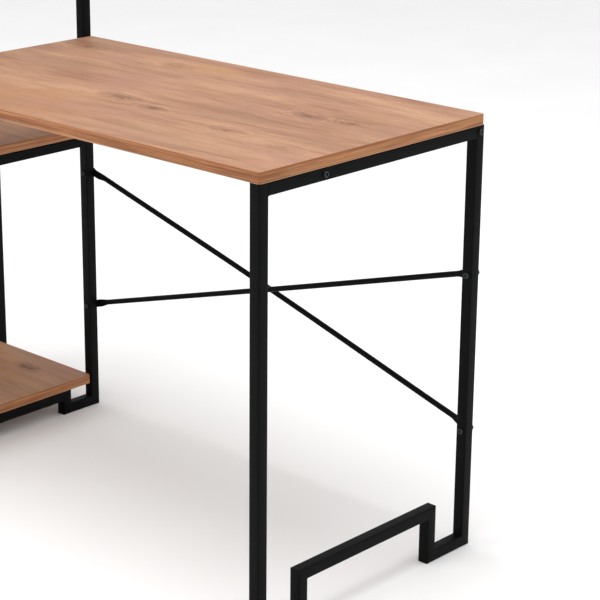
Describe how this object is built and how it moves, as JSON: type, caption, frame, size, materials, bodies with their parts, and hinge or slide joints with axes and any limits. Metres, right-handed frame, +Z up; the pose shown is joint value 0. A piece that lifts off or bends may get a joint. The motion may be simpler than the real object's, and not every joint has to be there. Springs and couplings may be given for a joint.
{
  "type": "desk with shelf tower",
  "caption": "Straight writing desk on a welded square-tube frame, with crossed brace rods behind it and a tall open shelf tower built on to its left end.",
  "frame": {"origin": "middle of the whole desk's footprint, on the floor", "axes": "+Z up, +X along the desktop from the shelf tower to its free right end, +Y to the back, so the sitter is at -Y"},
  "size_m": [1.2536, 0.5356, 1.591],
  "materials": {
    "board": "satin knotty oak laminate on chipboard, warm honey brown",
    "edge_band": "satin edge band, darker brown with fine lines along it",
    "frame": "satin black powder coat",
    "fastener": "dark blackened steel, worn to grey at the rims"
  },
  "bodies": {
    "root": {"outer_front_post": "frame", "outer_front_foot": "frame", "outer_front_riser": "frame", "outer_step_bar": "frame", "outer_back_riser": "frame", "outer_back_foot": "frame", "outer_back_post": "frame", "outer_middle_bar": "frame", "outer_upper_bar": "frame", "outer_top_bar": "frame", "inner_front_post": "frame", "inner_front_foot": "frame", "inner_front_riser": "frame", "inner_step_bar": "frame", "inner_back_riser": "frame", "inner_back_foot": "frame", "inner_back_post": "frame", "inner_middle_bar": "frame", "inner_upper_bar": "frame", "inner_top_bar": "frame", "inner_desk_bar": "frame", "right_front_leg": "frame", "right_front_foot": "frame", "right_front_riser": "frame", "right_step_bar": "frame", "right_back_riser": "frame", "right_back_foot": "frame", "right_back_leg": "frame", "right_top_bar": "frame", "front_rail": "frame", "back_rail": "frame", "desktop_board": "board", "desktop_edge_band": "edge_band", "bottom_shelf_board": "board", "bottom_shelf_edge_band": "edge_band", "middle_shelf_board": "board", "middle_shelf_edge_band": "edge_band", "upper_shelf_board": "board", "upper_shelf_edge_band": "edge_band", "top_shelf_board": "board", "top_shelf_edge_band": "edge_band", "falling_brace_rod": "frame", "rising_brace_rod": "frame", "rail_bolt_front_left": "fastener", "rail_end_plate_front_left": "frame", "rail_bolt_front_right": "fastener", "rail_end_plate_front_right": "frame", "rail_bolt_back_left": "fastener", "rail_end_plate_back_left": "frame", "rail_bolt_back_right": "fastener", "rail_end_plate_back_right": "frame", "brace_bolt_high_left": "fastener", "brace_nut_high_left": "fastener", "brace_bolt_low_left": "fastener", "brace_nut_low_left": "fastener", "brace_bolt_high_right": "fastener", "brace_nut_high_right": "fastener", "brace_bolt_low_right": "fastener", "brace_nut_low_right": "fastener"}
  },
  "joints": []
}
